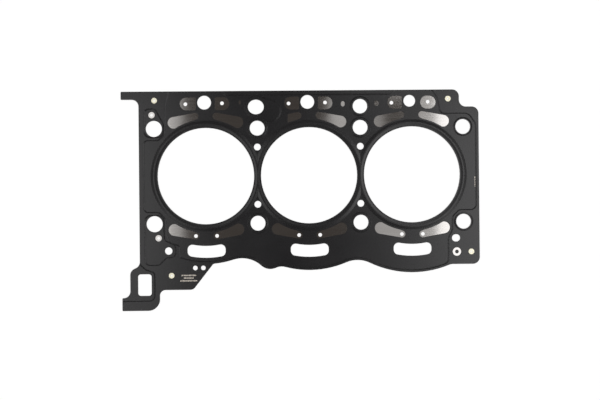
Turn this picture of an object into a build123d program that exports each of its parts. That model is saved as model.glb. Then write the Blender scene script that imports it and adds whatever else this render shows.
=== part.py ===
from build123d import *
from math import cos, hypot, radians, sin, sqrt, tan
import os

# Multi-layer steel head gasket for one bank of three cylinders.
#
# Frame: origin on the centre cylinder's axis, in the plane of the lower bead layer's sunk fields.
# +X runs along the row of cylinders away from the timing case, +Y to the edge with the round coolant
# holes, +Z towards the cylinder head. Millimetres.

# Cylinders and head bolts
BORE_SPACING = 90.0
BORE_R = 42.0
BOLT_ROW_Y = 41.5
BOLT_HOLE_R = 6.5
DOWEL_HOLE_R = 7.0

# Sheets, from the block to the head
BEAD_SHEET = 0.25
CARRIER_SHEET = 0.88
STOPPER_SHEET = 0.12

# Full bead pressed round each bore: widths counted outwards from the bore's edge
LIP_WIDTH = 1.1
BEAD_RISE_WIDTH = 1.8
BEAD_CREST_WIDTH = 1.0
BEAD_FALL_WIDTH = 2.4
BEAD_HEIGHT = 0.34
STOPPER_WIDTH = 1.5

# Half beads: the lands stand this much above the sunk fields
LAND_HEIGHT = 0.16
LAND_SLOPE_WIDTH = 0.9
RIM_WIDTH = 2.1

# Coolant slots along the lower edge, concentric with the bores
SLOT_BORE_GAP = 18.9
SLOT_WIDTH = 10.35
SLOT_LENGTH = 33.1
SLOT_CORNER_R = 4.2

# Lobes of the lower edge: sheet left outside each slot, and the ear between two lobes
LEFT_LOBE_MARGIN = 5.45
CENTRE_LOBE_MARGIN = 11.55
RIGHT_LOBE_MARGIN = 14.45
LOBE_BLEND_R = 24.8
EAR_DEG = 63.7
EAR_R = 11.75
EAR_REACH = 6.85
EAR_BLEND_R = 12.0

# Outline, counted from the end bolts, the coolant holes and the lobes
CORNER_R = 6.0
RIGHT_MARGIN = 13.9
LEFT_MARGIN = 13.15
TOP_MARGIN = 9.95
RIGHT_STEP_INSET = 3.2
RIGHT_SHOULDER_MARGIN = 17.5
LOWER_RIGHT_RISE = 6.85
LOWER_RIGHT_BLEND_R = 9.0
TAB_LENGTH = 15.45
TAB_TIP_R = 0.8
TOP_TAB_HEIGHT = 7.05
SLANT_START_OFFSET = 5.8
SLANT_DEG = 51.8
SLANT_START_R = 2.5
BLOCK_R = 5.0

# Chain-case window at the lower left, and the frame round it
CASE_WINDOW_FROM_BOLT = (-8.95, -52.95)
CASE_WINDOW_WIDTH = 11.75
CASE_WINDOW_HEIGHT = 18.75
CASE_WINDOW_CORNER_R = 2.4
FRAME_RIGHT_WALL = 7.13
FRAME_LEFT_WALL = 6.78
FRAME_TOP_WALL = 3.12
NECK_RISE = 4.05
BLOCK_BELOW_WINDOW = 4.5
TAB_BELOW_WINDOW = 11.25
BOTTOM_TAB_HEIGHT = 11.2
BOTTOM_TAB_R = 10.0

# Round passages: places counted from a bore's axis
WEB_HOLE_Y = 25.0
WEB_HOLE_R = 2.95
COOLANT_ROW_Y = 64.1
COOLANT_HOLE_X = -1.0
COOLANT_HOLE_R = 6.0
LAST_COOLANT_HOLE = (-1.7, 64.4)
LAST_COOLANT_HOLE_R = 5.13
DRAIN_ROW_Y = 60.0
DRAIN_HOLE_R = 6.35
OVAL_HOLE_SHIFT = -1.0
OVAL_HOLE_WIDTH = 13.9
OVAL_HOLE_HEIGHT = 12.8

# Small passages: places counted from the nearest end bolt
OIL_HOLE_FROM_BOLT = (12.0, -23.5)
OIL_HOLE_R = 3.2
END_DRAIN_FROM_BOLT = (-6.8, -14.5)
END_DRAIN_WIDTH = 7.15
END_DRAIN_HEIGHT = 6.35
CODE_HOLE_FROM_BOLT = (38.5, -38.5)
CODE_HOLE_SPACING = 7.0
CODE_HOLE_R = 2.03

# Windows in the bead layers, over small metering holes in the carrier
METER_R = 1.6
SLOT_METERS = ((-17.4, 62.85), (14.5, 63.45))
SLOT_WINDOW_Y = 63.1
SLOT_WINDOW_LENGTH = 12.6
SLOT_WINDOW_HEIGHT = 11.3
SLOT_WINDOW_INNER_R = 1.5
SLOT_WINDOW_X = 14.6
LAST_WINDOW_LENGTH = 13.4
FIRST_WINDOW_REACH = 1.3
KIDNEY_SMALL = (9.2, 52.2)
KIDNEY_SMALL_R = 3.0
KIDNEY_BIG = (27.8, 46.7)
KIDNEY_BIG_R = 5.1
KIDNEY_BORE_GAP = 7.5
SHORT_KIDNEY_CUT = 9.6
PEEP_WINDOWS = ((-14.0, 4.0, 0.9, 1.8), (-15.0, 2.2, 1.7, 2.4), (14.5, 2.4, 2.0, 2.3))
UPPER_BLEED_FROM_BOLT = (-1.9, 12.0)
LOWER_BLEED_FROM_BOLT = (3.3, -12.3)
BLEED_WINDOW_R = 2.75
BLEED_HOLE_R = 1.2
TEST_WINDOW_FROM_BOLT = (-6.1, -26.5)
TEST_WINDOW_R = 3.7
TEST_HOLE_R = 1.65

# Raised collars round bolt and drain holes
INNER_COLLAR_R = 8.6
END_COLLAR_R = 7.8
DRAIN_COLLAR_R = 8.4
POCKET_R = 9.4
POCKET_LENGTH = 12.7
POCKET_DEG = -16.0

# Eyelets that hold the stack together: places counted from the nearest end bolt
UPPER_LEFT_EYELET = (0.5, 24.6)
UPPER_RIGHT_EYELET = (-12.9, 24.5)
LOWER_RIGHT_EYELET = (6.6, -26.5)
LOWER_LEFT_EYELET = (14.4, -45.0)
EYELET_HOLE_R = 1.5
EYELET_BORE_R = 0.9
EYELET_FLANGE_R = 2.45
EYELET_FLANGE = 0.14

# Corners of the main sunk field with their radii, anticlockwise from the lower left, in six groups:
# each group is counted from an end bolt, or from a bore's place in the row of coolant holes
FIELD_BY_LOWER_LEFT_BOLT = (
    (21.6, -19.1, 3.0),
    (12.5, -16.5, 4.0),
    (10.0, -8.5, 6.0),
    (9.6, 4.5, 5.0),
    (4.0, 10.2, 5.0),
    (-9.0, 10.2, 3.5),
)
FIELD_BY_UPPER_LEFT_BOLT = (
    (-9.0, -10.2, 3.5),
    (4.0, -10.2, 5.0),
    (9.6, -4.5, 5.0),
    (10.3, 20.5, 8.0),
)
FIELD_BY_LEFT_COOLANT = (
    (-31.5, 11.9, 2.0),
    (13.5, 11.9, 2.0),
    (17.0, 6.2, 4.0),
)
FIELD_BY_RIGHT_COOLANT = (
    (-18.0, 6.2, 4.0),
    (-14.0, 11.9, 2.0),
    (16.5, 11.9, 2.0),
    (22.8, 2.9, 5.0),
)
FIELD_BY_UPPER_RIGHT_BOLT = (
    (-19.5, 11.7, 4.0),
    (5.0, 11.7, 7.0),
    (11.3, 2.5, 7.0),
)
FIELD_BY_LOWER_RIGHT_BOLT = (
    (11.3, 10.2, 5.0),
    (-4.0, 10.2, 6.0),
    (-9.6, 4.5, 5.0),
    (-10.0, -7.5, 6.0),
    (-13.5, -14.5, 6.0),
)
FIELD_END_R = 3.0
FIELD_START_R = 5.0

# Corners of the small sunk fields with their radii, counted from a bolt or from the case window
UPPER_LEFT_FIELD = (
    (-8.3, -7.5, 5.0),
    (8.0, -7.5, 5.0),
    (8.4, 4.0, 5.0),
    (1.0, 17.5, 3.5),
    (-8.3, 17.0, 4.0),
)
LOWER_LEFT_FIELD = (
    (-8.4, 7.5, 5.0),
    (8.0, 7.5, 5.0),
    (8.2, -14.5, 5.0),
    (18.0, -18.5, 4.5),
    (18.5, -29.2, 4.5),
    (10.0, -29.4, 4.0),
    (4.0, -35.8, 3.5),
    (-8.4, -35.8, 4.0),
)
CASE_FIELD = (
    (-6.05, 19.55, 2.0),
    (0.95, 13.25, 5.0),
    (8.65, 10.45, 3.0),
    (8.65, -14.05, 5.0),
    (-22.05, -14.05, 2.0),
    (-22.05, 19.55, 2.0),
)


def beside(place, offset):
    """Point at an (x, y) offset from a place."""
    return place[0] + offset[0], place[1] + offset[1]


# Levels and places that follow from the sizes above
CARRIER_Z = BEAD_SHEET
TOP_LAYER_Z = CARRIER_Z + CARRIER_SHEET
BORE_CENTRES = (-BORE_SPACING, 0.0, BORE_SPACING)
END_BOLT_X = 1.5 * BORE_SPACING
UPPER_LEFT_BOLT = (-END_BOLT_X, BOLT_ROW_Y)
LOWER_LEFT_BOLT = (-END_BOLT_X, -BOLT_ROW_Y)
UPPER_RIGHT_BOLT = (END_BOLT_X, BOLT_ROW_Y)
LOWER_RIGHT_BOLT = (END_BOLT_X, -BOLT_ROW_Y)
BEAD_OUTER_R = BORE_R + LIP_WIDTH + BEAD_RISE_WIDTH + BEAD_CREST_WIDTH + BEAD_FALL_WIDTH

SLOT_INNER_R = BORE_R + SLOT_BORE_GAP
SLOT_OUTER_R = SLOT_INNER_R + SLOT_WIDTH
LEFT_LOBE_R = SLOT_OUTER_R + LEFT_LOBE_MARGIN
CENTRE_LOBE_R = SLOT_OUTER_R + CENTRE_LOBE_MARGIN
RIGHT_LOBE_R = SLOT_OUTER_R + RIGHT_LOBE_MARGIN
EAR_ARM = CENTRE_LOBE_R + EAR_REACH - EAR_R
EAR = (-EAR_ARM * cos(radians(EAR_DEG)), -EAR_ARM * sin(radians(EAR_DEG)))

TOP_EDGE_Y = COOLANT_ROW_Y + TOP_MARGIN
LEFT_EDGE_X = -END_BOLT_X - LEFT_MARGIN
RIGHT_EDGE_X = END_BOLT_X + RIGHT_MARGIN
TAB_TIP_X = LEFT_EDGE_X - TAB_LENGTH
RIGHT_STEP_X = END_BOLT_X - RIGHT_STEP_INSET
RIGHT_SHOULDER_Y = BOLT_ROW_Y + RIGHT_SHOULDER_MARGIN
LOWER_RIGHT_Y = LOWER_RIGHT_RISE - RIGHT_LOBE_R

CASE_WINDOW = beside(LOWER_LEFT_BOLT, CASE_WINDOW_FROM_BOLT)
FRAME_RIGHT_X = CASE_WINDOW[0] + CASE_WINDOW_WIDTH / 2 + FRAME_RIGHT_WALL
FRAME_LEFT_X = CASE_WINDOW[0] - CASE_WINDOW_WIDTH / 2 - FRAME_LEFT_WALL
FRAME_TOP_Y = CASE_WINDOW[1] + CASE_WINDOW_HEIGHT / 2 + FRAME_TOP_WALL
NECK_END_Y = FRAME_TOP_Y + NECK_RISE
BLOCK_BOTTOM_Y = CASE_WINDOW[1] - BLOCK_BELOW_WINDOW
BOTTOM_TAB_TOP_Y = CASE_WINDOW[1] - TAB_BELOW_WINDOW
BOTTOM_TAB_BOTTOM_Y = BOTTOM_TAB_TOP_Y - BOTTOM_TAB_HEIGHT

OVAL_HOLE = (OVAL_HOLE_SHIFT - BORE_SPACING / 2, DRAIN_ROW_Y)
DRAIN_HOLE = (BORE_SPACING / 2, DRAIN_ROW_Y)
BLEED_HOLES = (
    beside(UPPER_LEFT_BOLT, UPPER_BLEED_FROM_BOLT),
    beside(LOWER_LEFT_BOLT, LOWER_BLEED_FROM_BOLT),
)
TEST_WINDOW = beside(LOWER_RIGHT_BOLT, TEST_WINDOW_FROM_BOLT)
EYELETS = {
    "eyelet_top_left": beside(UPPER_LEFT_BOLT, UPPER_LEFT_EYELET),
    "eyelet_top_right": beside(UPPER_RIGHT_BOLT, UPPER_RIGHT_EYELET),
    "eyelet_bottom_right": beside(LOWER_RIGHT_BOLT, LOWER_RIGHT_EYELET),
    "eyelet_bottom_left": beside(LOWER_LEFT_BOLT, LOWER_LEFT_EYELET),
}


def blend(centre_1, r_1, centre_2, r_2, blend_r):
    """Tangent points of the concave arc of radius blend_r that joins two circles on their lower side."""
    (x_1, y_1), (x_2, y_2) = centre_1, centre_2
    span = hypot(x_2 - x_1, y_2 - y_1)
    along = ((r_1 + blend_r) ** 2 - (r_2 + blend_r) ** 2 + span**2) / (2 * span)
    across = sqrt((r_1 + blend_r) ** 2 - along**2)
    ux, uy = (x_2 - x_1) / span, (y_2 - y_1) / span
    side = 1 if ux < 0 else -1
    cx = x_1 + along * ux - side * across * uy
    cy = y_1 + along * uy + side * across * ux
    tangents = []
    for (x, y), r in ((centre_1, r_1), (centre_2, r_2)):
        share = r / (r + blend_r)
        tangents.append((x + (cx - x) * share, y + (cy - y) * share))
    return tangents


def lobe_y(centre_x, r, x):
    """Height of a lobe's lower side at x."""
    return -sqrt(r**2 - (x - centre_x) ** 2)


def lobed_edge(inset, right_x, left_x):
    """Arcs of the lower edge from right to left, moved inwards by inset."""
    right = RIGHT_LOBE_R - inset
    centre = CENTRE_LOBE_R - inset
    left = LEFT_LOBE_R - inset
    ear = EAR_R - inset
    hollow, ear_hollow = LOBE_BLEND_R + inset, EAR_BLEND_R + inset
    start = (right_x, lobe_y(BORE_SPACING, right, right_x))
    end = (left_x, lobe_y(-BORE_SPACING, left, left_x))
    right_end, centre_start = blend((BORE_SPACING, 0), right, (0, 0), centre, hollow)
    centre_end, ear_start = blend((0, 0), centre, EAR, ear, ear_hollow)
    ear_end, left_start = blend(EAR, ear, (-BORE_SPACING, 0), left, hollow)
    RadiusArc(start, right_end, right)
    RadiusArc(right_end, centre_start, -hollow)
    RadiusArc(centre_start, centre_end, centre)
    RadiusArc(centre_end, ear_start, -ear_hollow)
    RadiusArc(ear_start, ear_end, ear)
    RadiusArc(ear_end, left_start, -hollow)
    RadiusArc(left_start, end, left)
    return start, end


def round_corners(sketch, corners):
    """Fillet the sketch's corners; each is given as (x, y, radius)."""
    for x, y, radius in corners:
        fillet(sketch.vertices().sort_by_distance((x, y))[0], radius)


def gasket_outline():
    """Outer edge of every sheet."""
    slant_x = SLANT_START_OFFSET - BORE_SPACING
    slant_y = lobe_y(-BORE_SPACING, LEFT_LOBE_R, slant_x)
    slant_end_x = slant_x - (slant_y - BLOCK_BOTTOM_Y) / tan(radians(SLANT_DEG))
    lobe_start_x = BORE_SPACING + sqrt(RIGHT_LOBE_R**2 - LOWER_RIGHT_Y**2)
    top_tab_y = TOP_EDGE_Y - TOP_TAB_HEIGHT
    with BuildSketch() as outline:
        with BuildLine():
            start, end = lobed_edge(0, lobe_start_x, slant_x)
            corners = [
                end,
                (slant_end_x, BLOCK_BOTTOM_Y),
                (FRAME_RIGHT_X, BLOCK_BOTTOM_Y),
                (FRAME_RIGHT_X, BOTTOM_TAB_BOTTOM_Y),
                (TAB_TIP_X, BOTTOM_TAB_BOTTOM_Y),
                (TAB_TIP_X, BOTTOM_TAB_TOP_Y),
                (FRAME_LEFT_X, BOTTOM_TAB_TOP_Y),
                (FRAME_LEFT_X, FRAME_TOP_Y),
                (LEFT_EDGE_X, NECK_END_Y),
                (LEFT_EDGE_X, top_tab_y),
                (TAB_TIP_X, top_tab_y),
                (TAB_TIP_X, TOP_EDGE_Y),
                (RIGHT_STEP_X, TOP_EDGE_Y),
                (RIGHT_STEP_X, RIGHT_SHOULDER_Y),
                (RIGHT_EDGE_X, RIGHT_SHOULDER_Y),
                (RIGHT_EDGE_X, LOWER_RIGHT_Y),
                start,
            ]
            Polyline(*corners)
        make_face()
        radii = [
            SLANT_START_R,
            BLOCK_R,
            BLOCK_R,
            BOTTOM_TAB_R,
            TAB_TIP_R,
            TAB_TIP_R,
            CORNER_R,
            CORNER_R,
            CORNER_R,
            CORNER_R,
            TAB_TIP_R,
            TAB_TIP_R,
            CORNER_R,
            CORNER_R,
            CORNER_R,
            CORNER_R,
            LOWER_RIGHT_BLEND_R,
        ]
        round_corners(outline, [(x, y, r) for (x, y), r in zip(corners, radii)])
    return outline.sketch


def placed(place, corners):
    """Corners (x, y, radius) moved to a place."""
    return [(*beside(place, (x, y)), radius) for x, y, radius in corners]


def main_field():
    """Large sunk field that holds the bores, the slots, the coolant holes and the pockets beside them."""
    corners = [
        *placed(LOWER_LEFT_BOLT, FIELD_BY_LOWER_LEFT_BOLT),
        *placed(UPPER_LEFT_BOLT, FIELD_BY_UPPER_LEFT_BOLT),
        *placed((-BORE_SPACING, COOLANT_ROW_Y), FIELD_BY_LEFT_COOLANT),
        *placed((BORE_SPACING, COOLANT_ROW_Y), FIELD_BY_RIGHT_COOLANT),
        *placed(UPPER_RIGHT_BOLT, FIELD_BY_UPPER_RIGHT_BOLT),
        *placed(LOWER_RIGHT_BOLT, FIELD_BY_LOWER_RIGHT_BOLT),
    ]
    with BuildSketch() as field:
        with BuildLine():
            start, end = lobed_edge(RIM_WIDTH, corners[-1][0], corners[0][0])
            Polyline(end, *[(x, y) for x, y, _ in corners], start)
        make_face()
        round_corners(field, [(*end, FIELD_END_R), *corners, (*start, FIELD_START_R)])
    return field.sketch


def small_field(place, corners):
    """Closed sunk field whose corners are counted from a place."""
    points = placed(place, corners)
    with BuildSketch() as field:
        with BuildLine():
            Polyline(*[(x, y) for x, y, _ in points], close=True)
        make_face()
        round_corners(field, points)
    return field.sketch


def sunk_fields():
    """Fields that lie on the carrier. What is left of the sheet round them is the raised land."""
    return [
        main_field(),
        small_field(UPPER_LEFT_BOLT, UPPER_LEFT_FIELD),
        small_field(LOWER_LEFT_BOLT, LOWER_LEFT_FIELD),
        small_field(CASE_WINDOW, CASE_FIELD),
    ]


def sloped_block(shape, widening):
    """Block one land high on a shape's plan, which grows by widening from its foot to its top."""
    with BuildPart() as block:
        with BuildSketch():
            add(shape)
            offset(amount=-widening / 2)
        with BuildSketch(Plane.XY.offset(LAND_HEIGHT)):
            add(shape)
            offset(amount=widening / 2)
        loft(ruled=True)
    return block.part


def collars():
    """Raised collars: one round each of the bolt and drain holes in the main field, and the oval pocket."""
    shapes = []
    half_spacing = BORE_SPACING / 2
    for place, radius in (
        ((-half_spacing, BOLT_ROW_Y), INNER_COLLAR_R),
        ((-half_spacing, -BOLT_ROW_Y), INNER_COLLAR_R),
        ((half_spacing, BOLT_ROW_Y), INNER_COLLAR_R),
        ((half_spacing, -BOLT_ROW_Y), INNER_COLLAR_R),
        (DRAIN_HOLE, DRAIN_COLLAR_R),
        (UPPER_RIGHT_BOLT, END_COLLAR_R),
    ):
        with BuildSketch(Location(place)) as collar:
            Circle(radius)
        shapes.append(collar.sketch)
    reach = POCKET_LENGTH / 2
    middle = (reach * cos(radians(POCKET_DEG)), reach * sin(radians(POCKET_DEG)))
    with BuildSketch(Location(beside(OVAL_HOLE, middle))) as pocket:
        SlotCenterToCenter(POCKET_LENGTH, 2 * POCKET_R, rotation=POCKET_DEG)
    return [*shapes, pocket.sketch]


def bead_ring(lip_height, left_reach, right_reach):
    """Full bead round a bore at the origin, cut off at its reach on the left and on the right."""
    lip_r = BORE_R + LIP_WIDTH
    crest_r = lip_r + BEAD_RISE_WIDTH
    with BuildPart() as ring:
        with BuildSketch(Plane.XZ):
            with BuildLine():
                Polyline(
                    (BORE_R - 1, -BEAD_SHEET),
                    (BORE_R - 1, lip_height),
                    (lip_r, lip_height),
                    (crest_r, BEAD_HEIGHT),
                    (crest_r + BEAD_CREST_WIDTH, BEAD_HEIGHT),
                    (BEAD_OUTER_R, 0),
                    (BEAD_OUTER_R, -BEAD_SHEET),
                    close=True,
                )
            make_face()
        revolve(axis=Axis.Z)
        with Locations(((right_reach - left_reach) / 2, 0)):
            Box(left_reach + right_reach, 4 * BORE_R, 4 * BEAD_HEIGHT, mode=Mode.INTERSECT)
    return ring.part


def press_form(lip_height):
    """Block whose upper face is the pressed surface of a bead layer, with the sunk fields at Z = 0."""
    with BuildPart() as form:
        with BuildSketch(Plane.XY.offset(-2 * BEAD_SHEET)):
            add(outline)
        extrude(amount=2 * BEAD_SHEET + LAND_HEIGHT)
        for field in sunk_fields():
            add(sloped_block(field, LAND_SLOPE_WIDTH), mode=Mode.SUBTRACT)
        for collar in collars():
            add(sloped_block(collar, -LAND_SLOPE_WIDTH))
        to_web, past_bead = BORE_SPACING / 2, 2 * BORE_R
        for x, left_reach, right_reach in (
            (-BORE_SPACING, past_bead, to_web),
            (0, to_web, to_web),
            (BORE_SPACING, to_web, past_bead),
        ):
            add(bead_ring(lip_height, left_reach, right_reach).moved(Location((x, 0, 0))))
    return form.part


def at_bores(*points):
    """Places that repeat beside every bore, as locations for a sketch."""
    return Locations(*[(x + dx, y) for x in BORE_CENTRES for dx, y in points])


def through_passages():
    """Every opening that goes through all the sheets."""
    half = SLOT_LENGTH / 2
    inner_y, outer_y = lobe_y(0, SLOT_INNER_R, half), lobe_y(0, SLOT_OUTER_R, half)
    with BuildSketch() as slot:
        with BuildLine():
            ThreePointArc((-half, inner_y), (0, -SLOT_INNER_R), (half, inner_y))
            Line((half, inner_y), (half, outer_y))
            ThreePointArc((half, outer_y), (0, -SLOT_OUTER_R), (-half, outer_y))
            Line((-half, outer_y), (-half, inner_y))
        make_face()
        fillet(slot.vertices(), SLOT_CORNER_R)
    with BuildSketch() as passages:
        with at_bores((0, 0)):
            Circle(BORE_R)
            add(slot.sketch)
        with GridLocations(BORE_SPACING, 2 * BOLT_ROW_Y, 2, 2):
            Circle(BOLT_HOLE_R)
        with Locations(UPPER_RIGHT_BOLT, LOWER_RIGHT_BOLT):
            Circle(BOLT_HOLE_R)
        with Locations(UPPER_LEFT_BOLT, LOWER_LEFT_BOLT):
            Circle(DOWEL_HOLE_R)
        with GridLocations(BORE_SPACING, 2 * WEB_HOLE_Y, 2, 2):
            Circle(WEB_HOLE_R)
        with Locations((COOLANT_HOLE_X - BORE_SPACING, COOLANT_ROW_Y), (COOLANT_HOLE_X, COOLANT_ROW_Y)):
            Circle(COOLANT_HOLE_R)
        with Locations(beside((BORE_SPACING, 0), LAST_COOLANT_HOLE)):
            Circle(LAST_COOLANT_HOLE_R)
        with Locations(DRAIN_HOLE):
            Circle(DRAIN_HOLE_R)
        with Locations(OVAL_HOLE):
            Ellipse(OVAL_HOLE_WIDTH / 2, OVAL_HOLE_HEIGHT / 2)
        with Locations(beside(LOWER_RIGHT_BOLT, END_DRAIN_FROM_BOLT)):
            SlotOverall(END_DRAIN_WIDTH, END_DRAIN_HEIGHT)
        with Locations(beside(LOWER_LEFT_BOLT, OIL_HOLE_FROM_BOLT)):
            Circle(OIL_HOLE_R)
        with Locations(beside(LOWER_LEFT_BOLT, CODE_HOLE_FROM_BOLT)):
            with GridLocations(CODE_HOLE_SPACING, 1, 2, 1):
                Circle(CODE_HOLE_R)
        with Locations(CASE_WINDOW):
            RectangleRounded(CASE_WINDOW_WIDTH, CASE_WINDOW_HEIGHT, CASE_WINDOW_CORNER_R)
        with Locations(*EYELETS.values()):
            Circle(EYELET_HOLE_R)
    return passages.sketch


def slot_window():
    """Window with one round end and one square end, its round end towards -X."""
    with BuildSketch() as window:
        RectangleRounded(SLOT_WINDOW_LENGTH, SLOT_WINDOW_HEIGHT, SLOT_WINDOW_INNER_R)
        with Locations((-SLOT_WINDOW_LENGTH / 2, 0)):
            Rectangle(SLOT_WINDOW_HEIGHT, SLOT_WINDOW_HEIGHT, mode=Mode.SUBTRACT)
        with Locations(((SLOT_WINDOW_HEIGHT - SLOT_WINDOW_LENGTH) / 2, 0)):
            Circle(SLOT_WINDOW_HEIGHT / 2)
    return window.sketch


def kidney():
    """Kidney window up and to the right of a bore at the origin."""
    with BuildSketch() as window:
        with Locations(KIDNEY_SMALL):
            Circle(KIDNEY_SMALL_R)
        with Locations(KIDNEY_BIG):
            Circle(KIDNEY_BIG_R)
        make_hull()
        Circle(BORE_R + KIDNEY_BORE_GAP, mode=Mode.SUBTRACT)
    return window.sketch


def layer_windows():
    """Openings of the bead layers alone, over the carrier."""
    with BuildSketch() as kidneys:
        add(kidney())
        mirror(about=Plane.YZ)
        mirror(about=Plane.XZ)
    slot_left = slot_window()
    slot_right = mirror(slot_left, about=Plane.YZ)
    with BuildSketch() as windows:
        with at_bores((0, 0)):
            add(kidneys.sketch)
        with Locations((SHORT_KIDNEY_CUT - KIDNEY_BIG[0], KIDNEY_BIG[1])):
            cut_size = 4 * KIDNEY_BIG_R
            Rectangle(cut_size, cut_size, align=(Align.MAX, Align.CENTER), mode=Mode.SUBTRACT)
        with at_bores((-SLOT_WINDOW_X, SLOT_WINDOW_Y)):
            add(slot_left)
        with Locations((-BORE_SPACING - SLOT_WINDOW_X - FIRST_WINDOW_REACH, SLOT_WINDOW_Y)):
            add(slot_left)
        with at_bores((SLOT_WINDOW_X, SLOT_WINDOW_Y)):
            add(slot_right)
        with Locations((BORE_SPACING + SLOT_WINDOW_X, SLOT_WINDOW_Y)):
            add(slot_right, mode=Mode.SUBTRACT)
            SlotOverall(LAST_WINDOW_LENGTH, SLOT_WINDOW_HEIGHT)
        with Locations(*BLEED_HOLES):
            Circle(BLEED_WINDOW_R)
    return windows.sketch


def metering_holes():
    """Small holes of the carrier, under the windows."""
    with BuildSketch() as holes:
        with at_bores(
            *SLOT_METERS,
            (KIDNEY_SMALL[0], -KIDNEY_SMALL[1]),
            (-KIDNEY_SMALL[0], -KIDNEY_SMALL[1]),
        ):
            Circle(METER_R)
        with Locations(*BLEED_HOLES):
            Circle(BLEED_HOLE_R)
        with Locations(TEST_WINDOW):
            Circle(TEST_HOLE_R)
    return holes.sketch


def top_only_windows():
    """Openings that only the head-side bead layer has."""
    with BuildSketch() as windows:
        for place, (x, y, half_width, half_height) in zip((OVAL_HOLE, DRAIN_HOLE, DRAIN_HOLE), PEEP_WINDOWS):
            with Locations(beside(place, (x, y))):
                Ellipse(half_width, half_height)
        with Locations(TEST_WINDOW):
            Circle(TEST_WINDOW_R)
    return windows.sketch


def bead_layer(lip_height, openings):
    """Pressed sheet whose sunk fields lie on Z = 0, with its beads and lands above it."""
    form = press_form(lip_height)
    with BuildPart() as layer:
        add(form.moved(Location((0, 0, BEAD_SHEET))))
        add(form, mode=Mode.SUBTRACT)
        with BuildSketch(Plane.XY.offset(-BEAD_SHEET)):
            for opening in openings:
                add(opening)
        extrude(amount=4 * BEAD_SHEET, mode=Mode.SUBTRACT)
    return layer.part


outline = gasket_outline()
passages = through_passages()
windows = layer_windows()

os.makedirs("parts", exist_ok=True)

lower_sheet = mirror(bead_layer(0, [passages, windows]), about=Plane.XY)
with BuildPart() as lower_bead_layer:
    add(lower_sheet.moved(Location((0, 0, CARRIER_Z))))
lower_bead_layer.part.label = "lower_bead_layer"
export_step(lower_bead_layer.part, "parts/lower_bead_layer.step")

with BuildPart() as carrier_sheet:
    with BuildSketch(Plane.XY.offset(CARRIER_Z)):
        add(outline)
        add(passages, mode=Mode.SUBTRACT)
        add(metering_holes(), mode=Mode.SUBTRACT)
    extrude(amount=CARRIER_SHEET)
carrier_sheet.part.label = "carrier_sheet"
export_step(carrier_sheet.part, "parts/carrier_sheet.step")

for name, x in zip(("left", "centre", "right"), BORE_CENTRES):
    with BuildPart() as stopper_ring:
        with BuildSketch(Plane.XY.offset(TOP_LAYER_Z)):
            with Locations((x, 0)):
                Circle(BORE_R + STOPPER_WIDTH)
                Circle(BORE_R, mode=Mode.SUBTRACT)
        extrude(amount=STOPPER_SHEET)
    stopper_ring.part.label = f"stopper_ring_{name}"
    export_step(stopper_ring.part, f"parts/stopper_ring_{name}.step")

upper_sheet = bead_layer(STOPPER_SHEET, [passages, windows, top_only_windows()])
with BuildPart() as upper_bead_layer:
    add(upper_sheet.moved(Location((0, 0, TOP_LAYER_Z))))
upper_bead_layer.part.label = "upper_bead_layer"
export_step(upper_bead_layer.part, "parts/upper_bead_layer.step")

lower_flange_z = -LAND_HEIGHT
upper_flange_z = TOP_LAYER_Z + BEAD_SHEET + LAND_HEIGHT
for name, (x, y) in EYELETS.items():
    with BuildPart() as eyelet:
        with BuildSketch(Plane.XY.offset(lower_flange_z - EYELET_FLANGE)):
            with Locations((x, y)):
                Circle(EYELET_FLANGE_R)
        extrude(amount=EYELET_FLANGE)
        with BuildSketch(Plane.XY.offset(lower_flange_z)):
            with Locations((x, y)):
                Circle(EYELET_HOLE_R)
        extrude(amount=upper_flange_z - lower_flange_z)
        with BuildSketch(Plane.XY.offset(upper_flange_z)):
            with Locations((x, y)):
                Circle(EYELET_FLANGE_R)
        extrude(amount=EYELET_FLANGE)
        with BuildSketch(Plane.XY.offset(lower_flange_z - EYELET_FLANGE)):
            with Locations((x, y)):
                Circle(EYELET_BORE_R)
        extrude(amount=upper_flange_z - lower_flange_z + 2 * EYELET_FLANGE, mode=Mode.SUBTRACT)
    eyelet.part.label = name
    export_step(eyelet.part, f"parts/{name}.step")
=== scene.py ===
import logging
import math
from dataclasses import dataclass, field
from enum import Enum

import bpy
from mathutils import Euler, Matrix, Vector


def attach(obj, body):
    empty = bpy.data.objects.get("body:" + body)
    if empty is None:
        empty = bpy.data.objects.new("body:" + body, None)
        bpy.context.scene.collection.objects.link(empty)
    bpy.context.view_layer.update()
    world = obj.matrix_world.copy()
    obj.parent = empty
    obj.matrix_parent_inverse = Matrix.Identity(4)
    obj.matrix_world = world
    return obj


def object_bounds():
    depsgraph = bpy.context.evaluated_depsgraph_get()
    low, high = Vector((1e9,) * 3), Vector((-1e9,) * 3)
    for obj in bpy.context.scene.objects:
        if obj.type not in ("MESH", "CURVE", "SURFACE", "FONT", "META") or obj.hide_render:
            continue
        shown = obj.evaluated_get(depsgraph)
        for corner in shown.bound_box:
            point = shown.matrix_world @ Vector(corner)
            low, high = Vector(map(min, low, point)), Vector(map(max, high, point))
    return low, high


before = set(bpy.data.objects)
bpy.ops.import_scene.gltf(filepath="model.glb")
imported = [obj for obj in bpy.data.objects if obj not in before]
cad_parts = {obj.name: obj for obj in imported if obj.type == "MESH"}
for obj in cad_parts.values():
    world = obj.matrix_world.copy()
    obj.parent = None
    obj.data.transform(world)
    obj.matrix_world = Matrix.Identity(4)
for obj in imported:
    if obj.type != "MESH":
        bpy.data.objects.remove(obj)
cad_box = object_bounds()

# A multi-layer steel cylinder head gasket lying flat on a pale studio floor. Metres throughout.

MM = 0.001
LOG = logging.getLogger("head_gasket")
BODY = "root"
FLOOR_GAP = 0.02 * MM
LEVEL_SLACK = 0.002 * MM
WELD_GAP = 0.001 * MM

# the span in which most of a noise texture's values lie
NOISE_LOW = 0.3
NOISE_HIGH = 0.7


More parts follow.
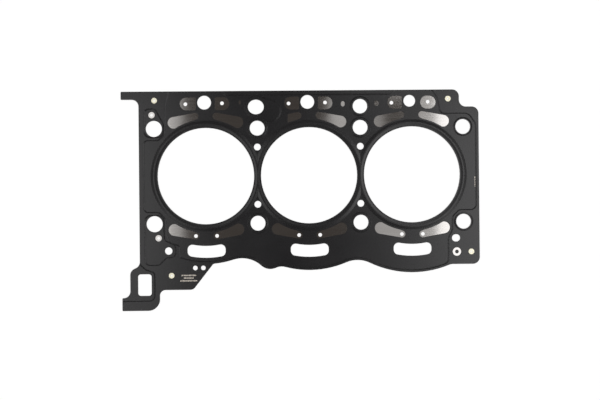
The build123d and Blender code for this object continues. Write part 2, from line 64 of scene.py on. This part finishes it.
class Sheet(Enum):
    """Stamped sheets of the gasket, by the name of their CAD node."""

    TOP = "upper_bead_layer"
    CARRIER = "carrier_sheet"
    BOTTOM = "lower_bead_layer"


class NodeBoard:
    """Node tree with short calls to add nodes and to join them."""

    def __init__(self, tree: bpy.types.NodeTree) -> None:
        """Keeps the tree and empties it.

        Args:
            tree: Node tree of a material, a group or the world.
        """
        self.tree = tree
        tree.nodes.clear()

    def add(self, kind: str, inputs: dict | None = None, **settings: object) -> bpy.types.Node:
        """Adds a node.

        Args:
            kind: Node type, such as "ShaderNodeTexNoise".
            inputs: Value or output socket for each named or numbered input.
            settings: Attributes to set on the node first.

        Returns:
            The new node.
        """
        node = self.tree.nodes.new(kind)
        for name, value in settings.items():
            setattr(node, name, value)
        for name, value in (inputs or {}).items():
            if isinstance(value, bpy.types.NodeSocket):
                self.tree.links.new(value, node.inputs[name])
            else:
                node.inputs[name].default_value = value
        return node

    def noise(self, vector: bpy.types.NodeSocket, scale: float, detail: float = 3.0) -> bpy.types.NodeSocket:
        """Adds a noise texture.

        Args:
            vector: Coordinates in metres.
            scale: Cells per metre.
            detail: Octaves.

        Returns:
            The grey value, about 0.5 on average.
        """
        node = self.add("ShaderNodeTexNoise", {"Vector": vector, "Scale": scale, "Detail": detail})
        return node.outputs["Fac"]

    def mapped(self, value: bpy.types.NodeSocket, low: float, high: float) -> bpy.types.NodeSocket:
        """Maps a noise value's usual span onto a range.

        Args:
            value: Value between about NOISE_LOW and NOISE_HIGH.
            low: Result at NOISE_LOW.
            high: Result at NOISE_HIGH.

        Returns:
            The mapped value.
        """
        limits = {"From Min": NOISE_LOW, "From Max": NOISE_HIGH, "To Min": low, "To Max": high}
        return self.add("ShaderNodeMapRange", {"Value": value, **limits}).outputs["Result"]

    def count(self, operation: str, *values: object) -> bpy.types.NodeSocket:
        """Adds a math node.

        Args:
            operation: What it does, such as "SUBTRACT".
            values: One or two numbers or sockets.

        Returns:
            The result.
        """
        return self.add("ShaderNodeMath", dict(enumerate(values)), operation=operation).outputs[0]

    def place(self) -> bpy.types.NodeSocket:
        """Adds the coordinates of the object itself.

        Returns:
            The coordinates, metres.
        """
        return self.add("ShaderNodeTexCoord").outputs["Object"]

    def bump(
        self, height: bpy.types.NodeSocket, depth: float, normal: bpy.types.NodeSocket | None = None
    ) -> bpy.types.NodeSocket:
        """Adds fine relief.

        Args:
            height: Grey value of the relief.
            depth: Height of the relief at 1, metres.
            normal: Normal to start from, or None for the mesh's own.

        Returns:
            The normal.
        """
        inputs = {"Height": height, "Strength": 1.0, "Distance": depth}
        if normal is not None:
            inputs["Normal"] = normal
        return self.add("ShaderNodeBump", inputs).outputs["Normal"]

    def surface(self, inputs: dict) -> None:
        """Adds the Principled shader and the material's output.

        Args:
            inputs: Value or socket for each named input of the shader.
        """
        shader = self.add("ShaderNodeBsdfPrincipled", inputs)
        self.add("ShaderNodeOutputMaterial", {"Surface": shader.outputs[0]})

    def join(self, source: bpy.types.Node, target: bpy.types.Node, number: int) -> None:
        """Joins a node's first output to a numbered input.

        Args:
            source: Node whose first output is used.
            target: Node to feed.
            number: Input of the target.
        """
        self.tree.links.new(source.outputs[0], target.inputs[number])

    def blend(self, factor: bpy.types.NodeSocket, dark: tuple, light: tuple) -> bpy.types.NodeSocket:
        """Mixes two colours.

        Args:
            factor: Share of the second colour.
            dark: First colour, linear RGB.
            light: Second colour, linear RGB.

        Returns:
            The mixed colour.
        """
        return self.mix(factor, (*dark, 1.0), (*light, 1.0))

    def mix(self, factor: bpy.types.NodeSocket, first: object, second: object) -> bpy.types.NodeSocket:
        """Mixes two colours, each given as a value or as a socket.

        Args:
            factor: Share of the second colour.
            first: First colour, linear RGBA, or a socket.
            second: Second colour, linear RGBA, or a socket.

        Returns:
            The mixed colour.
        """
        return self.add("ShaderNodeMix", {0: factor, 6: first, 7: second}, data_type="RGBA").outputs[2]


def new_group(
    name: str, inputs: dict[str, float], outputs: tuple[str, ...]
) -> tuple[bpy.types.NodeTree, NodeBoard]:
    """Makes an empty shader node group with float sockets.

    Args:
        name: Name of the group.
        inputs: Default value of each float input.
        outputs: Names of the float outputs.

    Returns:
        The group and its board.
    """
    group = bpy.data.node_groups.new(name, "ShaderNodeTree")
    for label, value in inputs.items():
        socket = group.interface.new_socket(label, in_out="INPUT", socket_type="NodeSocketFloat")
        socket.default_value = value
    for label in outputs:
        group.interface.new_socket(label, in_out="OUTPUT", socket_type="NodeSocketFloat")
    return group, NodeBoard(group)


def new_material(name: str) -> tuple[bpy.types.Material, NodeBoard]:
    """Makes an empty material.

    Args:
        name: Name of the material.

    Returns:
        The material and its board.
    """
    material = bpy.data.materials.new(name)
    material.use_nodes = True
    return material, NodeBoard(material.node_tree)


@dataclass(frozen=True)
class RollingGrain:
    """Grain of cold-rolled sheet: long fine streaks along X over a slow cloudiness."""

    streaks_per_m: float = 1400.0
    stretch: float = 0.02
    clouds_per_m: float = 28.0
    streak_octaves: float = 4.0
    cloud_octaves: float = 3.0
    middle: float = 0.5

    def group(self) -> bpy.types.NodeTree:
        """Builds the node group.

        Returns:
            Group with the inputs Streaks and Clouds (their shares) and the output Grain, about 0.5.
        """
        name = "rolling_grain"
        if name in bpy.data.node_groups:
            return bpy.data.node_groups[name]
        group, board = new_group(name, {"Streaks": 0.5, "Clouds": 0.5}, ("Grain",))
        source = board.add("NodeGroupInput")
        place = board.place()
        squeezed = board.add("ShaderNodeMapping", {"Vector": place, "Scale": (self.stretch, 1.0, 1.0)})
        streaks = board.noise(squeezed.outputs["Vector"], self.streaks_per_m, self.streak_octaves)
        clouds = board.noise(place, self.clouds_per_m, self.cloud_octaves)
        terms = []
        for value, share in ((streaks, "Streaks"), (clouds, "Clouds")):
            centred = board.count("SUBTRACT", value, self.middle)
            terms.append(board.count("MULTIPLY", centred, source.outputs[share]))
        total = board.count("ADD", *terms)
        board.add("NodeGroupOutput", {"Grain": board.count("ADD", total, self.middle)})
        return group


def grain_value(board: NodeBoard, streaks: float, clouds: float) -> bpy.types.NodeSocket:
    """Places the rolling grain in a material.

    Args:
        board: Board of the material.
        streaks: Share of the fine streaks.
        clouds: Share of the slow cloudiness.

    Returns:
        The grain value, about 0.5.
    """
    node = board.add("ShaderNodeGroup", node_tree=RollingGrain().group())
    node.inputs["Streaks"].default_value = streaks
    node.inputs["Clouds"].default_value = clouds
    return node.outputs["Grain"]


@dataclass(frozen=True)
class CutEdge:
    """Where the stamping die cut the sheet and left its edge bare."""

    # upright part of the normal, below which a face is a cut wall
    steepest_face: float = 0.5

    def group(self) -> bpy.types.NodeTree:
        """Builds the node group.

        Returns:
            Group with the output Mask, 1 on upright walls and 0 on the sheet's faces.
        """
        name = "cut_edge"
        if name in bpy.data.node_groups:
            return bpy.data.node_groups[name]
        group, board = new_group(name, {}, ("Mask",))
        normal = board.add("ShaderNodeNewGeometry").outputs["True Normal"]
        parts = board.add("ShaderNodeSeparateXYZ", {"Vector": normal})
        level = board.count("ABSOLUTE", parts.outputs["Z"])
        wall = board.count("LESS_THAN", level, self.steepest_face)
        board.add("NodeGroupOutput", {"Mask": wall})
        return group


@dataclass(frozen=True)
class PressedCrease:
    """Shading of the pressed creases: softened, and steeper than the mesh away from the bores' beads."""

    radius: float = 0.6 * MM
    samples: int = 8
    # how many times a slope is tilted, on narrow creases and on the beads
    crease_gain: float = 2.0
    bead_gain: float = 0.95
    bead_reach: float = 50.6 * MM
    gain_fade: float = 1.0 * MM
    bead_pitch: float = 90.0 * MM
    # upright part of the softened normal, below which a face keeps its plain normal
    least_upright: float = 0.975

    def group(self) -> bpy.types.NodeTree:
        """Builds the node group.

        Returns:
            Group with the output Normal.
        """
        name = "pressed_crease"
        if name in bpy.data.node_groups:
            return bpy.data.node_groups[name]
        group, board = new_group(name, {}, ())
        group.interface.new_socket("Normal", in_out="OUTPUT", socket_type="NodeSocketVector")
        bevel = board.add("ShaderNodeBevel", {"Radius": self.radius}, samples=self.samples)
        rounded = bevel.outputs["Normal"]
        plain = board.add("ShaderNodeNewGeometry").outputs["Normal"]
        height = board.add("ShaderNodeSeparateXYZ", {"Vector": rounded}).outputs["Z"]
        flat = board.count("GREATER_THAN", height, self.least_upright)
        gain = self.gain(board)
        widened = board.add("ShaderNodeCombineXYZ", {"X": gain, "Y": gain, "Z": 1.0}).outputs["Vector"]
        steep = board.add("ShaderNodeVectorMath", {0: rounded, 1: widened}, operation="MULTIPLY")
        normals = {0: flat, 4: plain, 5: steep.outputs["Vector"]}
        chosen = board.add("ShaderNodeMix", normals, data_type="VECTOR")
        unit = board.add("ShaderNodeVectorMath", {0: chosen.outputs[1]}, operation="NORMALIZE")
        board.add("NodeGroupOutput", {"Normal": unit.outputs["Vector"]})
        return group

    def gain(self, board: NodeBoard) -> bpy.types.NodeSocket:
        """Tells how much a slope is steepened: less on the wide beads round the three bores.

        Args:
            board: Board of the group.

        Returns:
            The gain.
        """
        parts = board.add("ShaderNodeSeparateXYZ", {"Vector": board.place()})
        nearest = board.count("ROUND", board.count("DIVIDE", parts.outputs["X"], self.bead_pitch))
        # the bores are numbered -1, 0 and 1 along X
        bore = board.add("ShaderNodeClamp", {"Value": nearest, "Min": -1.0, "Max": 1.0})
        centre = board.count("MULTIPLY", bore.outputs[0], self.bead_pitch)
        across = board.count("SUBTRACT", parts.outputs["X"], centre)
        arm = board.add("ShaderNodeCombineXYZ", {"X": across, "Y": parts.outputs["Y"]})
        length = board.add("ShaderNodeVectorMath", {0: arm.outputs[0]}, operation="LENGTH")
        limits = {
            "From Min": self.bead_reach,
            "From Max": self.bead_reach + self.gain_fade,
            "To Min": self.bead_gain,
            "To Max": self.crease_gain,
        }
        return board.add("ShaderNodeMapRange", {"Value": length.outputs["Value"], **limits}).outputs["Result"]


@dataclass(frozen=True)
class CoatingFinish:
    """Thin black rubber coating, baked on: half matt, with bare steel only on the cut edges."""

    dark: tuple[float, float, float] = (0.0088, 0.0088, 0.0098)
    light: tuple[float, float, float] = (0.0120, 0.0119, 0.0130)
    edge: tuple[float, float, float] = (0.17, 0.165, 0.16)
    roughness: tuple[float, float] = (0.21, 0.25)
    ior: float = 1.5
    streaks: float = 0.35
    clouds: float = 0.8
    peel_per_m: float = 900.0
    peel_octaves: float = 2.0
    peel_depth: float = 8e-7

    def material(self) -> bpy.types.Material:
        """Builds the material.

        Returns:
            The coating.
        """
        material, board = new_material("black_rubber_coating")
        mask = board.add("ShaderNodeGroup", node_tree=CutEdge().group()).outputs["Mask"]
        grain = grain_value(board, self.streaks, self.clouds)
        rubber = board.blend(board.mapped(grain, 0.0, 1.0), self.dark, self.light)
        colour = board.mix(mask, rubber, (*self.edge, 1.0))
        rough = board.mapped(grain, *self.roughness)
        peel = board.noise(board.place(), self.peel_per_m, self.peel_octaves)
        crease = board.add("ShaderNodeGroup", node_tree=PressedCrease().group())
        normal = board.bump(peel, self.peel_depth, crease.outputs["Normal"])
        looks = {"Base Color": colour, "Metallic": mask, "Roughness": rough}
        board.surface({**looks, "IOR": self.ior, "Normal": normal})
        return material


@dataclass(frozen=True)
class BareSteelFinish:
    """Bare rolled steel: satin, streaked along the rolling direction."""

    name: str = "bare_rolled_steel"
    dark: tuple[float, float, float] = (0.44, 0.425, 0.41)
    light: tuple[float, float, float] = (0.49, 0.478, 0.468)
    roughness: tuple[float, float] = (0.07, 0.085)
    streaks: float = 1.0
    clouds: float = 0.5
    streak_depth: float = 3e-8

    def material(self) -> bpy.types.Material:
        """Builds the material.

        Returns:
            The steel.
        """
        material, board = new_material(self.name)
        grain = grain_value(board, self.streaks, self.clouds)
        colour = board.blend(board.mapped(grain, 0.0, 1.0), self.dark, self.light)
        rough = board.mapped(grain, *self.roughness)
        normal = board.bump(grain, self.streak_depth)
        board.surface({"Base Color": colour, "Metallic": 1.0, "Roughness": rough, "Normal": normal})
        return material


@dataclass(frozen=True)
class InkFinish:
    """Pale marking ink, stamped on thin and a little uneven."""

    dark: tuple[float, float, float] = (0.50, 0.45, 0.39)
    light: tuple[float, float, float] = (0.76, 0.70, 0.62)
    roughness: tuple[float, float] = (0.45, 0.6)
    blots_per_m: float = 1500.0
    blot_depth: float = 2e-6

    def material(self) -> bpy.types.Material:
        """Builds the material.

        Returns:
            The ink.
        """
        material, board = new_material("pale_marking_ink")
        blot = board.noise(board.place(), self.blots_per_m)
        colour = board.blend(board.mapped(blot, 0.0, 1.0), self.dark, self.light)
        rough = board.mapped(blot, *self.roughness)
        board.surface({"Base Color": colour, "Roughness": rough, "Normal": board.bump(blot, self.blot_depth)})
        return material


def dress_node(name: str, material: bpy.types.Material) -> None:
    """Gives a CAD node its material.

    Args:
        name: Name of the CAD node.
        material: Material for all its slots.
    """
    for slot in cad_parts[name].material_slots:
        slot.material = material


def settle(piece: bpy.types.Object) -> None:
    """Moves a piece's place into its mesh, so that its object sits at the origin.

    Args:
        piece: Finished mesh object.
    """
    bpy.ops.object.select_all(action="DESELECT")
    piece.select_set(True)
    bpy.context.view_layer.objects.active = piece
    bpy.ops.object.transform_apply(location=True, rotation=True, scale=True)


def pick_level(piece: bpy.types.Object, level: float) -> None:
    """Selects a piece's vertices at a height, and leaves it in edit mode.

    Args:
        piece: Object that is settled at the origin.
        level: Height of the vertices, metres.
    """
    bpy.ops.object.mode_set(mode="EDIT")
    bpy.ops.mesh.select_mode(type="VERT")
    bpy.ops.mesh.select_all(action="DESELECT")
    bpy.ops.object.mode_set(mode="OBJECT")
    for vertex in piece.data.vertices:
        vertex.select = abs(vertex.co.z - level) < LEVEL_SLACK
    bpy.ops.object.mode_set(mode="EDIT")


@dataclass
class SheetStack:
    """The three stamped sheets and the stopper rings, as the CAD gives them."""

    coating: CoatingFinish = field(default_factory=CoatingFinish)
    carrier: BareSteelFinish = field(default_factory=BareSteelFinish)
    stopper: BareSteelFinish = field(
        default_factory=lambda: BareSteelFinish(name="stopper_shim_steel", roughness=(0.2, 0.28))
    )

    def dress(self) -> bpy.types.Material:
        """Gives the sheets and the stopper rings their finishes.

        Returns:
            The coating, for the collar that is modelled here.
        """
        black = self.coating.material()
        for sheet in (Sheet.TOP, Sheet.BOTTOM):
            dress_node(sheet.value, black)
        dress_node(Sheet.CARRIER.value, self.carrier.material())
        shim = self.stopper.material()
        for side in ("left", "centre", "right"):
            dress_node(f"stopper_ring_{side}", shim)
        LOG.info("dressed the sheets and stopper rings")
        return black


@dataclass
class BoltCollar:
    """Pressed collar round one bolt hole of the head-side layer. Millimetres, but for the mesh."""

    name: str
    place: tuple[float, float]
    level: float = 1.54
    hole_radius: float = 6.55
    crest_radius: float = 7.3
    foot_radius: float = 8.6
    height: float = 0.16
    sunk: float = 0.01
    sides: int = 96

    def build(self, finish: bpy.types.Material) -> bpy.types.Object:
        """Models the collar: a low cone with a flat crest, open in the middle and closed below.

        Args:
            finish: The coating.

        Returns:
            The collar.
        """
        x, y = self.place
        foot, crest = self.level - self.sunk, self.level + self.height
        rise = crest - foot
        bpy.ops.object.select_all(action="DESELECT")
        bpy.ops.mesh.primitive_cone_add(
            vertices=self.sides,
            radius1=self.foot_radius * MM,
            radius2=self.crest_radius * MM,
            depth=rise * MM,
            end_fill_type="NOTHING",
            location=(x * MM, y * MM, (foot + rise / 2) * MM),
        )
        collar = bpy.context.object
        collar.name = self.name
        settle(collar)
        centre = (x * MM, y * MM, crest * MM)
        inwards = self.hole_radius / self.crest_radius
        pick_level(collar, crest * MM)
        bpy.ops.mesh.extrude_region_move()
        bpy.ops.transform.resize(value=(inwards, inwards, 1.0), center_override=centre)
        bpy.ops.mesh.extrude_region_move(TRANSFORM_OT_translate={"value": (0.0, 0.0, -rise * MM)})
        pick_level(collar, foot * MM)
        bpy.ops.mesh.bridge_edge_loops()
        bpy.ops.mesh.select_all(action="SELECT")
        bpy.ops.mesh.remove_doubles(threshold=WELD_GAP)
        bpy.ops.mesh.normals_make_consistent(inside=False)
        bpy.ops.object.mode_set(mode="OBJECT")
        settle(collar)
        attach(collar, BODY)
        collar.data.materials.clear()
        collar.data.materials.append(finish)
        LOG.info("built %s", self.name)
        return collar


@dataclass(frozen=True)
class PassivatedFinish:
    """Zinc-plated steel with a pale yellow passivation, a little cloudy."""

    dark: tuple[float, float, float] = (0.92, 0.88, 0.66)
    light: tuple[float, float, float] = (0.96, 0.94, 0.78)
    roughness: tuple[float, float] = (0.28, 0.36)
    metallic: float = 0.35
    clouds_per_m: float = 700.0
    cloud_depth: float = 1e-6
    edge_radius: float = 0.12 * MM
    edge_samples: int = 4

    def material(self) -> bpy.types.Material:
        """Builds the material.

        Returns:
            The plated steel.
        """
        material, board = new_material("yellow_passivated_steel")
        cloud = board.noise(board.place(), self.clouds_per_m)
        colour = board.blend(board.mapped(cloud, 0.0, 1.0), self.dark, self.light)
        rough = board.mapped(cloud, *self.roughness)
        edge = board.add("ShaderNodeBevel", {"Radius": self.edge_radius}, samples=self.edge_samples)
        normal = board.bump(cloud, self.cloud_depth, edge.outputs["Normal"])
        board.surface({"Base Color": colour, "Metallic": self.metallic, "Roughness": rough, "Normal": normal})
        return material


@dataclass
class Eyelets:
    """The four hollow eyelets that hold the sheets together."""

    corners: tuple[str, ...] = ("top_left", "top_right", "bottom_right", "bottom_left")
    finish: PassivatedFinish = field(default_factory=PassivatedFinish)

    def dress(self) -> None:
        """Gives the eyelets their finish."""
        plated = self.finish.material()
        for corner in self.corners:
            dress_node(f"eyelet_{corner}", plated)
        LOG.info("dressed the eyelets")


@dataclass
class BarRow:
    """Row of small upright bars: a printed line, and also the pale tick up the right edge. Millimetres, but
    for the mesh.
    """

    name: str
    start: tuple[float, float]
    widths: tuple[float, ...]
    level: float
    height: float = 1.15
    gap: float = 0.42
    thickness: float = 0.012
    upwards: bool = False
    corner: float = 0.12
    corner_steps: int = 2

    def bar(self, width: float, along: float) -> bpy.types.Object:
        """Models one bar with rounded corners.

        Args:
            width: Size along the row.
            along: Where the bar starts along the row.

        Returns:
            The bar, settled in its place.
        """
        x, y = self.start
        size = (self.height, width) if self.upwards else (width, self.height)
        middle = (x, y + along + width / 2) if self.upwards else (x + along + width / 2, y)
        bpy.ops.object.select_all(action="DESELECT")
        bpy.ops.mesh.primitive_plane_add(size=1.0, location=(middle[0] * MM, middle[1] * MM, self.level * MM))
        bar = bpy.context.object
        bar.scale = (size[0] * MM, size[1] * MM, 1.0)
        settle(bar)
        bpy.ops.object.mode_set(mode="EDIT")
        bpy.ops.mesh.select_all(action="SELECT")
        bpy.ops.mesh.bevel(offset=self.corner * MM, segments=self.corner_steps, affect="VERTICES")
        bpy.ops.mesh.select_all(action="SELECT")
        bpy.ops.mesh.extrude_region_move(TRANSFORM_OT_translate={"value": (0.0, 0.0, self.thickness * MM)})
        bpy.ops.mesh.select_all(action="SELECT")
        bpy.ops.mesh.normals_make_consistent(inside=False)
        bpy.ops.object.mode_set(mode="OBJECT")
        return bar

    def build(self) -> bpy.types.Object:
        """Models the row.

        Returns:
            All bars as one piece.
        """
        bars, along = [], 0.0
        for width in self.widths:
            bars.append(self.bar(width, along))
            along += width + self.gap
        bpy.ops.object.select_all(action="DESELECT")
        for bar in bars:
            bar.select_set(True)
        bpy.context.view_layer.objects.active = bars[0]
        bpy.ops.object.join()
        row = bpy.context.object
        row.name = self.name
        settle(row)
        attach(row, BODY)
        return row


@dataclass
class PaleMarks:
    """Pale marks on the head-side layer: three generic ink rows near the case window, and a pale tick up the
    right edge, drawn as bars in the same finish.
    """

    land_level: float = 1.54
    field_level: float = 1.38
    finish: InkFinish = field(default_factory=InkFinish)

    def rows(self) -> tuple[BarRow, ...]:
        """Lists the rows.

        Returns:
            The four rows.
        """
        land, sunk = self.land_level, self.field_level
        return (
            BarRow(
                "ink_row_upper",
                (-111.9, -86.4),
                (0.8, 0.5, 0.7, 0.6, 0.8, 0.5, 0.7, 0.7, 0.5, 0.8, 0.6, 0.6),
                land,
            ),
            BarRow("ink_row_middle", (-110.0, -88.7), (0.6, 0.8, 0.5, 0.7, 0.6, 0.8, 0.6, 0.9), land),
            BarRow(
                "ink_row_lower",
                (-113.0, -91.1),
                (0.7, 0.5, 0.8, 0.6, 0.5, 0.7, 0.8, 0.5, 0.6, 0.7, 0.5, 0.8, 0.6, 0.8),
                land,
            ),
            # a short pale tick up the right edge of the sunken field, drawn as a row of pale bars
            BarRow(
                "pale_tick_right_edge",
                (145.2, -11.0),
                (0.5, 0.7, 0.5, 0.8, 0.5, 0.7, 1.6),
                sunk,
                height=0.6,
                gap=0.55,
                upwards=True,
            ),
        )

    def build(self) -> None:
        """Models the rows and inks them."""
        ink = self.finish.material()
        for row in self.rows():
            piece = row.build()
            piece.data.materials.clear()
            piece.data.materials.append(ink)
            LOG.info("built %s", piece.name)


@dataclass(frozen=True)
class SoftCard:
    """Level lamp above the gasket, between two places along X and two along Y. Metres."""

    name: str
    x_low: float
    x_high: float
    y_low: float
    y_high: float
    radiance: float
    mirrored: bool = True

    def hang(self, height: float) -> None:
        """Hangs the card, hidden from the camera.

        Args:
            height: Height above the origin, metres.
        """
        data = bpy.data.lights.new(self.name, "AREA")
        data.shape = "RECTANGLE"
        data.size = self.x_high - self.x_low
        data.size_y = self.y_high - self.y_low
        data.energy = self.radiance * math.pi * data.size * data.size_y
        lamp = bpy.data.objects.new(self.name, data)
        bpy.context.collection.objects.link(lamp)
        lamp.location = ((self.x_low + self.x_high) / 2, (self.y_low + self.y_high) / 2, height)
        lamp.visible_camera = False
        lamp.visible_glossy = self.mirrored


@dataclass
class Studio:
    """Pale floor, soft overhead lamps, a dim world and the camera straight above. Metres."""

    floor_z: float
    floor_size: float = 8.0
    floor_dark: tuple[float, float, float] = (0.88, 0.88, 0.88)
    floor_light: tuple[float, float, float] = (0.92, 0.92, 0.92)
    floor_roughness: float = 0.7
    floor_tones_per_m: float = 3.0
    floor_octaves: float = 2.0
    floor_glow: float = 0.885
    floor_shade: float = 0.14
    lamp_height: float = 0.9
    world_strength: float = 0.09
    world_colour: tuple[float, float, float] = (1.0, 0.88, 0.80)
    camera_place: tuple[float, float, float] = (-24.95 * MM, -22.35 * MM, 900.89 * MM)
    camera_turn_deg: tuple[float, float, float] = (0.0588, -1.0676, -0.5350)
    # the lens and the sensor are in millimetres
    camera_lens: float = 61.803
    camera_sensor: float = 36.0
    camera_clip: float = 0.01
    # how far up the white background reaches, as the upright part of a ray
    backdrop_top: float = 0.5
    cards: tuple[SoftCard, ...] = (
        SoftCard("left_card", -0.42, -0.224, -0.27, 0.21, 1.52),
        SoftCard("left_soft_edge", -0.224, -0.196, -0.27, 0.21, 0.6),
        SoftCard("inner_right_card", 0.061, 0.106, 0.02, 0.17, 0.68),
        SoftCard("inner_right_fade", 0.106, 0.156, 0.02, 0.135, 0.42),
        SoftCard("upper_right_card", 0.106, 0.205, 0.172, 0.27, 2.3),
        SoftCard("near_right_card", 0.125, 0.245, -0.27, -0.01, 0.58),
        SoftCard("right_strip", 0.205, 0.245, 0.0, 0.27, 0.62),
        SoftCard("right_card", 0.248, 0.50, -0.27, 0.21, 2.1),
    )
    # lights the colours and leaves no reflection of its own
    fill: SoftCard = SoftCard("fill_card", -1.2, 1.2, -1.2, 1.2, 1.25, mirrored=False)

    def build(self) -> None:
        """Builds the floor, the lamps, the world and the camera."""
        self.build_floor()
        self.build_lamps()
        self.build_world()
        self.build_camera()
        LOG.info("built the studio")

    def build_floor(self) -> None:
        """Lays the floor under the lowest bead crest."""
        bpy.ops.object.select_all(action="DESELECT")
        bpy.ops.mesh.primitive_plane_add(size=self.floor_size, location=(0.0, 0.0, self.floor_z))
        floor = bpy.context.object
        floor.name = "studio_floor"
        material, board = new_material("pale_floor")
        tone = board.noise(board.place(), self.floor_tones_per_m, self.floor_octaves)
        colour = board.blend(board.mapped(tone, 0.0, 1.0), self.floor_dark, self.floor_light)
        looks = {"Base Color": colour, "Roughness": self.floor_roughness}
        pale = board.add("ShaderNodeBsdfPrincipled", looks)
        shade = (self.floor_shade, self.floor_shade, self.floor_shade, 1.0)
        shadow = board.add("ShaderNodeBsdfDiffuse", {"Color": shade})
        glow = board.add("ShaderNodeEmission", {"Color": (1.0, 1.0, 1.0, 1.0), "Strength": self.floor_glow})
        white = board.add("ShaderNodeAddShader")
        board.join(shadow, white, 0)
        board.join(glow, white, 1)
        total = board.add("ShaderNodeMixShader", {0: self.seen(board)})
        board.join(pale, total, 1)
        board.join(white, total, 2)
        board.add("ShaderNodeOutputMaterial", {"Surface": total.outputs[0]})
        floor.data.materials.append(material)

    def build_lamps(self) -> None:
        """Hangs the cards and the fill above the gasket."""
        for card in (*self.cards, self.fill):
            card.hang(self.lamp_height)

    def build_world(self) -> None:
        """Gives the room a dim level of its own, and a white background to the rays that show it."""
        world = bpy.data.worlds.new("studio_room")
        bpy.context.scene.world = world
        world.use_nodes = True
        board = NodeBoard(world.node_tree)
        way = board.add("ShaderNodeTexCoord").outputs["Generated"]
        height = board.add("ShaderNodeSeparateXYZ", {"Vector": way}).outputs["Z"]
        low = board.count("LESS_THAN", height, self.backdrop_top)
        share = board.count("MULTIPLY", self.seen(board), low)
        dim = (*self.world_colour, 1.0)
        room = board.add("ShaderNodeBackground", {"Color": dim, "Strength": self.world_strength})
        white = board.add("ShaderNodeBackground", {"Color": (1.0, 1.0, 1.0, 1.0), "Strength": 1.0})
        mix = board.add("ShaderNodeMixShader", {0: share})
        board.join(room, mix, 1)
        board.join(white, mix, 2)
        board.add("ShaderNodeOutputWorld", {"Surface": mix.outputs[0]})

    @staticmethod
    def seen(board: NodeBoard) -> bpy.types.NodeSocket:
        """Tells the rays that show the background from those that light the scene.

        Args:
            board: Board to add the nodes to.

        Returns:
            1 for camera, glossy and transmission rays.
        """
        rays = board.add("ShaderNodeLightPath").outputs
        direct = board.count("MAXIMUM", rays["Is Camera Ray"], rays["Is Glossy Ray"])
        return board.count("MAXIMUM", direct, rays["Is Transmission Ray"])

    def build_camera(self) -> None:
        """Sets the camera above the gasket."""
        data = bpy.data.cameras.new("camera")
        data.lens = self.camera_lens
        data.sensor_width = self.camera_sensor
        data.clip_start = self.camera_clip
        camera = bpy.data.objects.new("camera", data)
        bpy.context.collection.objects.link(camera)
        camera.location = self.camera_place
        camera.rotation_euler = Euler([math.radians(angle) for angle in self.camera_turn_deg], "XYZ")
        bpy.context.scene.camera = camera
        bpy.context.scene.view_settings.view_transform = "Standard"


def main() -> None:
    """Builds the scene in order."""
    logging.basicConfig(level=logging.INFO)
    coating = SheetStack().dress()
    BoltCollar("bolt_collar_lower_right", (135.0, -41.5)).build(coating)
    Eyelets().dress()
    PaleMarks().build()
    Studio(floor_z=float(cad_box[0][2]) - FLOOR_GAP).build()


if __name__ == "__main__":
    main()
